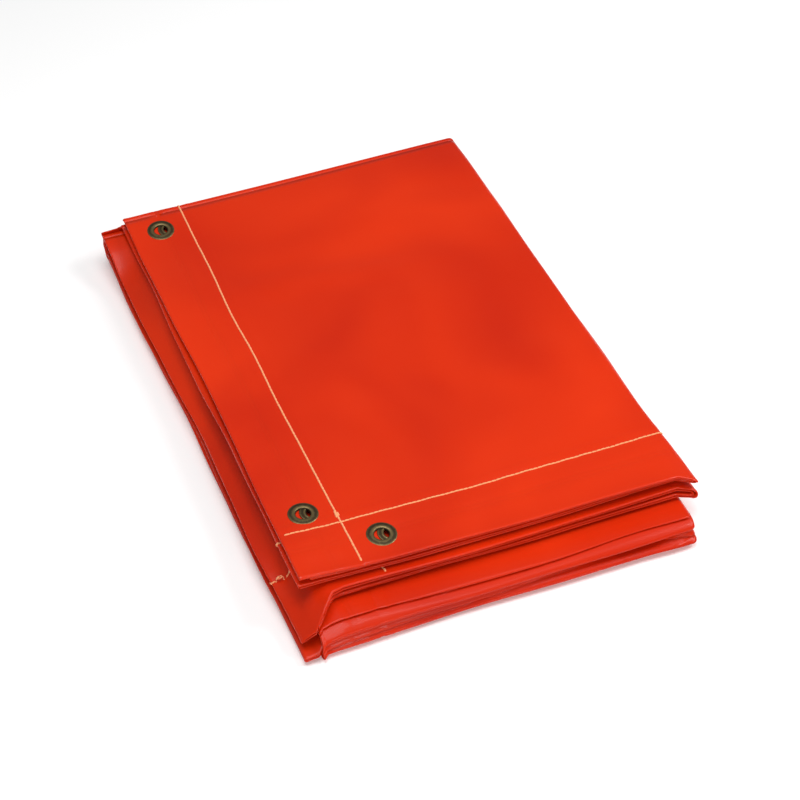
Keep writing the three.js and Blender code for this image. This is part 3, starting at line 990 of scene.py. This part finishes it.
@dataclass(frozen=True)
class ThreadFinish:
    """Cream and yellow twisted sewing thread."""

    light: tuple = (1.0, 0.46, 0.21)
    dark: tuple = (0.92, 0.29, 0.09)

    def make(self) -> bpy.types.Material:
        """Builds the material.

        Returns:
            The material.
        """
        s = Surface("seam_thread", {"Sheen Weight": 0.3, "Sheen Roughness": 0.5})
        twist = s.object.node(
            "ShaderNodeTexWave",
            {"wave_type": "BANDS", "bands_direction": "DIAGONAL"},
            {"Vector": s.object, "Scale": 420.0, "Distortion": 2.0, "Detail": 1.0},
            output="Fac",
        )
        fuzz = s.noise(s.object, 1800.0, 2.0)
        s.feed(Base_Color=s.mix((twist * 0.6 + fuzz * 0.4).clamped(), self.dark, self.light))
        s.feed(Roughness=0.62 + fuzz * 0.25)
        s.bump(twist, 0.00012, 0.6)
        return s.material


@dataclass(frozen=True)
class BrassFinish:
    """Brass that has darkened, with its raised edges rubbed brighter."""

    dark: tuple = (0.055, 0.040, 0.018)
    rubbed: tuple = (0.34, 0.25, 0.11)

    def make(self) -> bpy.types.Material:
        """Builds the material.

        Returns:
            The material.
        """
        s = Surface("aged_brass", {"Specular IOR Level": 0.5})
        rubbed = s.object.node("ShaderNodeAttribute", {"attribute_name": "rubbed"}, {}, output="Fac")
        patina = s.noise(s.object, 420.0, 4.0, 0.6, 0.6)
        fine = s.noise(s.object, 2600.0, 2.0)
        share = (rubbed * 0.9 + patina * 0.8 - 0.62).clamped()
        s.feed(Base_Color=s.mix(share, self.dark, self.rubbed))
        s.feed(Metallic=0.78 + share * 0.2, Roughness=0.46 - share * 0.16 + fine * 0.1)
        s.bump(patina * 0.7 + fine * 0.3, 0.00006, 0.6)
        return s.material


# ------------------------------------------------------------------------------------------ stitches and eyelets


class Repeater:
    """A Geometry Nodes tree that puts a shape on points and turns the result into a plain mesh."""

    def __init__(self, name: str, shape: bpy.types.Object, material: bpy.types.Material) -> None:
        """Keeps the shape and its finish.

        Args:
            name: The tree's name.
            shape: What is repeated: its X axis goes along, its Z axis up.
            material: Its material.
        """
        self.name, self.shape, self.material = name, shape, material
        self.tree = self._tree()

    def _tree(self) -> bpy.types.NodeTree:
        """Builds the tree: a shape at each point, turned to the attributes "way" and "up".

        Returns:
            The tree.
        """
        tree = bpy.data.node_groups.new(self.name, "GeometryNodeTree")
        tree.interface.new_socket("Geometry", in_out="INPUT", socket_type="NodeSocketGeometry")
        scale = tree.interface.new_socket("Scale", in_out="INPUT", socket_type="NodeSocketFloat")
        scale.default_value = 1.0
        self.scale_id = scale.identifier
        tree.interface.new_socket("Geometry", in_out="OUTPUT", socket_type="NodeSocketGeometry")
        new, link = tree.nodes.new, tree.links.new
        start, end = new("NodeGroupInput"), new("NodeGroupOutput")
        points = new("GeometryNodeMeshToPoints")
        link(start.outputs["Geometry"], points.inputs["Mesh"])
        info = new("GeometryNodeObjectInfo")
        info.inputs["Object"].default_value = self.shape
        way, up = self._vector(tree, "way"), self._vector(tree, "up")
        along = new("FunctionNodeAlignEulerToVector")
        along.axis = "X"
        link(way, along.inputs["Vector"])
        upright = new("FunctionNodeAlignEulerToVector")
        upright.axis, upright.pivot_axis = "Z", "X"
        link(along.outputs["Rotation"], upright.inputs["Rotation"])
        link(up, upright.inputs["Vector"])
        put = new("GeometryNodeInstanceOnPoints")
        link(points.outputs["Points"], put.inputs["Points"])
        link(info.outputs["Geometry"], put.inputs["Instance"])
        link(upright.outputs["Rotation"], put.inputs["Rotation"])
        link(start.outputs["Scale"], put.inputs["Scale"])
        real, paint = new("GeometryNodeRealizeInstances"), new("GeometryNodeSetMaterial")
        paint.inputs["Material"].default_value = self.material
        link(put.outputs["Instances"], real.inputs["Geometry"])
        link(real.outputs["Geometry"], paint.inputs["Geometry"])
        link(paint.outputs["Geometry"], end.inputs["Geometry"])
        return tree

    @staticmethod
    def _vector(tree: bpy.types.NodeTree, name: str) -> bpy.types.NodeSocket:
        """A named vector attribute's output.

        Args:
            tree: The tree.
            name: The attribute's name.

        Returns:
            The output.
        """
        read = tree.nodes.new("GeometryNodeInputNamedAttribute")
        read.data_type = "FLOAT_VECTOR"
        read.inputs["Name"].default_value = name
        return read.outputs["Attribute"]

    def make(self, name: str, points: Array, ways: Array, ups: Array) -> bpy.types.Object:
        """Repeats the shape at points and returns one plain mesh object.

        Args:
            name: The new object's name.
            points: Where each copy goes.
            ways: The direction of each copy's X axis.
            ups: The direction of each copy's Z axis.

        Returns:
            The new object, linked to the scene.
        """
        source = bpy.data.meshes.new(name + "_points")
        source.from_pydata([tuple(p) for p in points.tolist()], [], [])
        for key, values in (("way", ways), ("up", ups)):
            attribute = source.attributes.new(key, "FLOAT_VECTOR", "POINT")
            attribute.data.foreach_set("vector", values.astype(np.float32).reshape(-1))
        carrier = bpy.data.objects.new(name + "_points", source)
        bpy.context.scene.collection.objects.link(carrier)
        modifier = carrier.modifiers.new("repeat", "NODES")
        modifier.node_group = self.tree
        modifier[self.scale_id] = 1.0
        graph = bpy.context.evaluated_depsgraph_get()
        mesh = bpy.data.meshes.new_from_object(carrier.evaluated_get(graph))
        carrier.modifiers.remove(modifier)
        bpy.data.objects.remove(carrier)
        mesh.name = name
        mesh.shade_smooth()
        if not mesh.materials:
            mesh.materials.append(self.material)
        obj = bpy.data.objects.new(name, mesh)
        bpy.context.scene.collection.objects.link(obj)
        return obj


def lathe(name: str, profile: list[tuple[float, float, float]], steps: int) -> bpy.types.Object:
    """A closed ring turned about Z. It isn't linked to the scene.

    Args:
        name: The object's name.
        profile: Radius, height and how rubbed the metal is, going round the section anticlockwise.
        steps: Steps round the ring.

    Returns:
        The new object.
    """
    points, faces, rubbed = [], [], []
    count = len(profile)
    for j in range(steps):
        angle = 2 * math.pi * j / steps
        for i, (r, z, bright) in enumerate(profile):
            points.append((r * math.cos(angle), r * math.sin(angle), z))
            rubbed.append(bright)
            k, n = (i + 1) % count, (j + 1) % steps
            faces.append((j * count + i, n * count + i, n * count + k, j * count + k))
    mesh = bpy.data.meshes.new(name)
    mesh.from_pydata(points, [], faces)
    attribute = mesh.attributes.new("rubbed", "FLOAT", "POINT")
    attribute.data.foreach_set("value", np.array(rubbed, np.float32))
    return bpy.data.objects.new(name, mesh)


@dataclass
class Eyelets:
    """The brass eyelets and their washers."""

    hole: float = 6 * MM
    flange: float = 12 * MM
    washer: float = 11 * MM
    height: float = 1.05 * MM
    steps: int = 40

    def barrel_shape(self) -> bpy.types.Object:
        """The barrel with its rolled flange, face up, its seat at height 0.

        Returns:
            The shape.
        """
        h, f, top = self.hole, self.flange, self.height
        profile = [
            (h - 0.2 * MM, -0.9 * MM, 0.0),
            (h + 0.5 * MM, -1.0 * MM, 0.0),
            (h + 0.9 * MM, -0.4 * MM, 0.0),
            (f - 0.5 * MM, -0.05 * MM, 0.1),
            (f, 0.12 * MM, 0.8),
            (f - 0.15 * MM, 0.36 * MM, 0.9),
            (f - 0.9 * MM, 0.55 * MM, 0.5),
            (f - 2.1 * MM, 0.72 * MM, 0.1),
            (f - 3.3 * MM, top - 0.05 * MM, 0.5),
            (h + 1.7 * MM, top, 0.9),
            (h + 0.8 * MM, top - 0.12 * MM, 0.9),
            (h + 0.2 * MM, top - 0.42 * MM, 0.5),
            (h - 0.1 * MM, top - 0.9 * MM, 0.1),
        ]
        return lathe("barrel_shape", profile, self.steps)

    def washer_shape(self) -> bpy.types.Object:
        """The washer with the barrel's rolled end in its middle, its seat at height 0, its face up.

        Returns:
            The shape.
        """
        h, w = self.hole, self.washer
        profile = [
            (h - 0.1 * MM, -0.4 * MM, 0.0),
            (w - 0.5 * MM, -0.05 * MM, 0.0),
            (w, 0.10 * MM, 0.7),
            (w - 0.4 * MM, 0.28 * MM, 0.8),
            (w - 2.0 * MM, 0.30 * MM, 0.1),
            (h + 2.0 * MM, 0.34 * MM, 0.1),
            (h + 1.4 * MM, 0.62 * MM, 0.9),
            (h + 0.6 * MM, 0.66 * MM, 0.9),
            (h + 0.0 * MM, 0.3 * MM, 0.4),
        ]
        return lathe("washer_shape", profile, self.steps)


@dataclass
class Stitch:
    """One stitch of thread: a short rounded bar that dips at both ends."""

    pitch: float = 3.9 * MM
    length: float = 4.3 * MM
    seam_end: float = 4 * MM  # from a seam's end to the hem edge
    joint_gap: float = 1.2 * MM  # the stitches of the two halves stay this far short of the last fold
    radius: float = 0.82 * MM
    height: float = 0.6  # as a share of its width
    sides: int = 6

    def shape(self) -> bpy.types.Object:
        """The stitch, along X, its middle at the origin.

        Returns:
            The shape.
        """
        half = ((0.35, 1.0, 0.0), (0.80, 0.9, -0.15), (1.0, 0.5, -0.6))
        stations = [(-x, size, dip) for x, size, dip in reversed(half)] + list(half)
        points, faces = [], []
        for x, size, dip in stations:
            for i in range(self.sides):
                angle = 2 * math.pi * i / self.sides
                y, z = math.cos(angle) * size * self.radius, math.sin(angle) * size * self.radius
                points.append((x * self.length / 2, y, z * self.height + dip * self.radius))
        n = self.sides
        for k in range(len(stations) - 1):
            for i in range(n):
                j = (i + 1) % n
                faces.append((k * n + i, k * n + j, (k + 1) * n + j, (k + 1) * n + i))
        faces.append(tuple(reversed(range(n))))
        last = (len(stations) - 1) * n
        faces.append(tuple(last + i for i in range(n)))
        mesh = bpy.data.meshes.new("stitch_shape")
        mesh.from_pydata(points, [], faces)
        return bpy.data.objects.new("stitch_shape", mesh)


# -------------------------------------------------------------------------------------------------- the curtain


@dataclass
class Curtain:
    """The whole folded curtain: film, seams and eyelets."""

    bundle: Bundle
    film: bpy.types.Material
    thread: bpy.types.Material
    brass: bpy.types.Material
    fold: FoldMap = field(init=False)
    grid: SheetGrid = field(init=False)
    bends: dict[str, tuple[float, float]] = field(init=False, default_factory=dict)

    def __post_init__(self) -> None:
        """Sets up the fold map and the sheet's grid."""
        self.fold = FoldMap(self.bundle)
        self.fold.dents = [(s, t) for _, s, t in self.eyelet_places()]
        self.grid = SheetGrid(self.fold, self.fold.dents)

    def _report(self, obj: bpy.types.Object) -> None:
        """Logs a finished piece."""
        LOG.info("%s: %d faces", obj.name, len(obj.data.polygons))

    # ---- film ----

    def build_film(self) -> None:
        """Makes the film's pieces and hangs the top, lower and second pieces on their halves; the spine strips stay in
        place.
        """
        k, hem = self.fold.t_knots, self.bundle.hem
        cuts = self.grid.spine_cuts
        whole = (-hem, self.fold.width + hem)
        spans = (
            ("film_top_quarter", (-hem, cuts[0]), UPPER, "sheet_top_quarter"),
            ("film_lower_half", (cuts[1], cuts[2]), LOWER, "sheet_lower_half"),
            ("film_second_quarter", (cuts[3], k[7] + hem), UPPER, "sheet_second_quarter"),
        )
        for name, span, body, node in spans:
            piece = FilmPiece(self.grid, name, whole, span)
            obj = piece.build(self.film)
            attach(obj, body)
            self._declare(obj, piece.cut_size(), node)
        for name, span, node in (("outer", cuts[0:2], "sheet_outer_spine"), ("inner", cuts[2:4], "sheet_inner_spine")):
            pieces = [FilmPiece(self.grid, f"film_{name}_spine_{n.value + 1}", self._panel(n), span) for n in Layer]
            strips = [piece.build(self.film) for piece in pieces]
            ends = [self._ends(strip) for strip in strips]
            self.bends[name] = (max(low for low, _ in ends), min(high for _, high in ends))
            for layer, piece, strip in zip(Layer, pieces, strips):
                self._bend(strip)
                turn = self.fold.spine_length(self.bundle.depths[layer.value], name == "inner")
                self._declare(strip, (piece.cut_size()[0], turn + 2 * SheetGrid.SPINE_REACH), node)

    def _panel(self, layer: Layer) -> tuple[float, float]:
        """The lines across between which one panel lies, from fold middle to fold middle.

        Args:
            layer: The panel.

        Returns:
            The first and last line.
        """
        k, hem = self.fold.s_knots, self.bundle.hem
        lines = self.grid.s_lines
        middles = [float(lines[np.argmin(abs(lines - (k[i] + k[i + 1]) / 2))]) for i in (1, 3, 5)]
        ends = [-hem, *middles, self.fold.width + hem]
        return ends[layer.value], ends[layer.value + 1]

    def _ends(self, obj: bpy.types.Object) -> tuple[float, float]:
        """The heights where a strip of the spine leaves the lower half and reaches the upper one.

        Args:
            obj: The strip.

        Returns:
            The top of its lower end and the bottom of its upper end.
        """
        mesh = obj.data
        co = np.zeros(len(mesh.vertices) * 3)
        mesh.vertices.foreach_get("co", co)
        co = co.reshape(-1, 3)
        at_plane = co[co[:, 1] < self.bundle.spine_y - 1 * MM]
        middle = (co[:, 2].min() + co[:, 2].max()) / 2
        low = at_plane[at_plane[:, 2] < middle][:, 2].max()
        high = at_plane[at_plane[:, 2] > middle][:, 2].min()
        return float(low), float(high)

    def _bend(self, obj: bpy.types.Object) -> None:
        """Bakes a piece of one spine into place; it is given no bend between the halves.

        Args:
            obj: The strip of film or line of stitches.
        """
        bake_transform(obj)

    def _declare(self, obj: bpy.types.Object, flat: tuple[float, float], node: str) -> None:
        """Hides the solid that a piece of film replaces and logs the piece.

        Args:
            obj: The piece.
            flat: Its width and length when flat. Not used.
            node: The solid that it replaces.
        """
        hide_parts(node)
        self._report(obj)

    # ---- seams ----

    def build_seams(self) -> None:
        """Makes the four lines of stitches, split where the last fold opens."""
        stitch = Stitch()
        repeat = Repeater("stitches", stitch.shape(), self.thread)
        k, inset = self.fold.t_knots, self.bundle.seam_inset
        spans = (
            ("top_quarter", (stitch.seam_end, k[1]), UPPER),
            ("outer_spine", (k[1], k[2]), None),
            ("lower_half", (k[2], k[5] - stitch.joint_gap), LOWER),
            ("inner_spine", (k[5], k[6]), None),
            ("second_quarter", (k[6] + stitch.joint_gap, k[7] - stitch.seam_end), UPPER),
        )
        for side, s in (("left", inset), ("right", self.fold.width - inset)):
            for name, (start, end), body in spans:
                t = self._steps(start, end, stitch.pitch)
                if (side, name) == ("left", "lower_half"):
                    t = t[(t < k[3] - 8 * MM) | (t > k[4] + 24 * MM)]
                if (side, name) == ("right", "lower_half"):
                    t = t[(t < k[3] - 2 * MM) | (t > k[4] + 2 * MM)]
                across = np.full_like(t, s)
                if (side, name) == ("left", "top_quarter"):
                    t, across = self._backtack(t, across)
                if (side, name) == ("left", "second_quarter"):
                    t, across = self._loose_run(t, across)
                obj = self._seam(f"seam_{side}_{name}", across, t, (0.0, 1.0), repeat)
                self._finish_seam(obj, f"thread_{side}_{name}", body)
        for side, t in (("top", inset), ("bottom", self.fold.length - inset)):
            s = self._steps(stitch.seam_end, self.fold.width - stitch.seam_end, stitch.pitch)
            obj = self._seam(f"seam_{side}_hem", s, np.full_like(s, t), (1.0, 0.0), repeat)
            self._finish_seam(obj, f"thread_{side}_hem", UPPER)

    def _backtack(self, t: Array, across: Array) -> tuple[Array, Array]:
        """Adds the few stitches sewn back over the seam, just behind where the two hems cross.

        Args:
            t: The stitches' places along.
            across: Their places across.

        Returns:
            Both, with the new stitches.
        """
        knot = self.bundle.seam_inset + np.array([7.5, 9.0, 10.8]) * MM
        side = self.bundle.seam_inset + np.array([-0.9, 1.0, -0.6]) * MM
        return np.concatenate([t, knot]), np.concatenate([across, side])

    def _loose_run(self, t: Array, across: Array) -> tuple[Array, Array]:
        """Adds the short run of stitches on the second pack's front edge, just under the top pack's seam.

        Args:
            t: The stitches' places along.
            across: Their places across.

        Returns:
            Both, with the new stitches.
        """
        k, knots = self.fold.t_knots, self.fold.s_knots
        run = k[6] + self.bundle.spine_y + np.array([0.2140, 0.2178, 0.2216])
        panel = knots[2] + self.bundle.right_x + np.array([0.0905, 0.0900, 0.0895])
        return np.concatenate([t, run]), np.concatenate([across, panel])

    @staticmethod
    def _steps(start: float, end: float, pitch: float) -> Array:
        """The middles of evenly spaced stitches from start to end."""
        count = max(1, round((end - start) / pitch))
        return start + (end - start) * (np.arange(count) + 0.5) / count

    def _seam(self, name: str, s: Array, t: Array, way: tuple[float, float], repeat: Repeater) -> bpy.types.Object:
        """A line of stitches on the film's face.

        Args:
            name: The new object's name.
            s: Places across.
            t: Places along.
            way: The direction of sewing on the sheet.
            repeat: What places the stitches.

        Returns:
            The line of stitches.
        """
        out, tiny = 0.42 * MM, 0.4 * MM
        here = self.fold.place(s, t, out)
        ahead = self.fold.place(s + way[0] * tiny, t + way[1] * tiny, out)
        behind = self.fold.place(s - way[0] * tiny, t - way[1] * tiny, out)
        above = self.fold.place(s, t, out + tiny)
        return repeat.make(name, here, ahead - behind, above - here)

    def _finish_seam(self, obj: bpy.types.Object, node: str, body: str | None) -> None:
        """Hangs a line of stitches on the half that it rides, or bakes it in place at a spine, and hides the solid that
        it replaces.

        Args:
            obj: The line of stitches.
            node: The solid that it replaces.
            body: What it rides on, or None at a spine.
        """
        if body:
            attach(obj, body)
        else:
            self._bend(obj)
        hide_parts(node)
        self._report(obj)

    # ---- eyelets ----

    def eyelet_places(self) -> list[tuple[str, float, float]]:
        """The name and the flat place of each eyelet, from the frame's own eyelets.

        Returns:
            Name, place across and place along.
        """
        b, f = self.bundle, self.fold
        side_end = self._middle("left_1").y - b.top_hem_y
        step = (f.length - 2 * side_end) / (b.side_eyelets - 1)
        places = []
        for i in range(b.side_eyelets):
            places.append((f"left_{i + 1}", b.eyelet_inset, side_end + i * step))
            places.append((f"right_{i + 1}", f.width - b.eyelet_inset, side_end + i * step))
        top_end = self._middle("top_1").x - b.hem_x
        step = (f.width - 2 * top_end) / (b.top_eyelets - 1)
        for i in range(b.top_eyelets):
            places.append((f"top_{i + 1}", top_end + i * step, b.eyelet_inset))
        return places

    @staticmethod
    def _middle(name: str) -> Vector:
        """The middle of one of the frame's eyelets."""
        low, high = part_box("eyelet_" + name)
        return (low + high) / 2

    def build_eyelets(self) -> None:
        """Makes the barrels and washers of each half."""
        eyelets = Eyelets()
        kinds = (
            ("eyelet", eyelets.barrel_shape(), 0.0, 1.0),
            ("washer", eyelets.washer_shape(), -2 * FoldMap.HEM_STEP, -1.0),
        )
        k = self.fold.t_knots
        for kind, shape, out, facing in kinds:
            repeat = Repeater(kind + "s", shape, self.brass)
            for body in (UPPER, LOWER):
                chosen = [p for p in self.eyelet_places() if (k[1] < p[2] < k[6]) == (body == LOWER)]
                s = np.array([p[1] for p in chosen])
                t = np.array([p[2] for p in chosen])
                tiny = 1 * MM
                here = self.fold.place(s, t, 0.2 * MM + out)
                way = self.fold.place(s, t + 8 * tiny) - self.fold.place(s, t - 8 * tiny)
                side = self.fold.place(s + 8 * tiny, t) - self.fold.place(s - 8 * tiny, t)
                up = np.cross(side, way)
                up *= facing * np.sign(np.sum(up * (self.fold.place(s, t, tiny) - self.fold.place(s, t)), -1))[:, None]
                obj = repeat.make(f"{kind}s_{body}", here, way, up)
                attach(obj, body)
                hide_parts(*[f"{kind}_{p[0]}" for p in chosen])
                self._report(obj)


# ---------------------------------------------------------------------------------------------------- the studio


@dataclass
class Studio:
    """The floor, the soft light and the camera."""

    azimuth: float = -22.0
    elevation: float = 43.3
    distance: float = 1.678
    lens: float = 91.7
    target: tuple[float, float, float] = (-0.0023, -0.0392, 0.02)

    def build(self) -> None:
        """Makes everything that isn't part of the curtain."""
        self._floor()
        self._world()
        self._light("overhead", (-0.2, -0.1, 1.8), (1.4, 1.1), 20.5)
        self._light("key", (1.25, -0.35, 1.35), (0.7, 0.7), 14.0)
        self._light("front_strip", (-0.2, -1.7, 0.85), (1.3, 0.22), 9.0)
        self._camera()

    def _floor(self) -> None:
        """A plain pale floor."""
        bpy.ops.mesh.primitive_plane_add(size=12.0, location=(0, 0, -0.0004))
        floor = bpy.context.object
        floor.name = "floor"
        fixed = {"Roughness": 0.9, "Base Color": (0.96, 0.96, 0.96, 1.0), "Specular IOR Level": 0.1}
        fixed |= {"Emission Color": (1.0, 1.0, 1.0, 1.0), "Emission Strength": 0.12}
        surface = Surface("pale_floor", fixed)
        floor.data.materials.append(surface.material)

    def _world(self) -> None:
        """An even white surround."""
        world = bpy.data.worlds.new("surround")
        world.use_nodes = True
        background = world.node_tree.nodes["Background"]
        background.inputs["Color"].default_value = (1, 1, 1, 1)
        background.inputs["Strength"].default_value = 0.22
        bpy.context.scene.world = world

    def _light(self, name: str, place: tuple, size: tuple, power: float) -> None:
        """A soft rectangular light that looks at the bundle.

        Args:
            name: The light's name.
            place: Where it is.
            size: Its width and height.
            power: Its power in watts.
        """
        data = bpy.data.lights.new(name, "AREA")
        data.shape, data.size, data.size_y, data.energy = "RECTANGLE", size[0], size[1], power
        obj = bpy.data.objects.new(name, data)
        obj.location = place
        obj.rotation_euler = (Vector((0, 0, 0)) - Vector(place)).to_track_quat("-Z", "Y").to_euler()
        bpy.context.scene.collection.objects.link(obj)

    def _camera(self) -> None:
        """The camera, above the bundle's front left."""
        azimuth, elevation = math.radians(self.azimuth), math.radians(self.elevation)
        way = Vector(
            (math.sin(azimuth) * math.cos(elevation), -math.cos(azimuth) * math.cos(elevation), math.sin(elevation))
        )
        data = bpy.data.cameras.new("camera")
        data.lens, data.sensor_width = self.lens, 36.0
        camera = bpy.data.objects.new("camera", data)
        target = Vector(self.target)
        camera.location = target + way * self.distance
        camera.rotation_euler = (target - camera.location).to_track_quat("-Z", "Y").to_euler()
        bpy.context.scene.collection.objects.link(camera)
        bpy.context.scene.camera = camera
        bpy.context.scene.view_settings.view_transform = "Standard"


def main() -> None:
    """Builds the curtain around the frame."""
    logging.basicConfig(level=logging.INFO, format="%(name)s: %(message)s")
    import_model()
    Studio().build()
    curtain = Curtain(Bundle(), FilmFinish().make(), ThreadFinish().make(), BrassFinish().make())
    curtain.build_film()
    curtain.build_seams()
    curtain.build_eyelets()


if __name__ == "__main__":
    main()
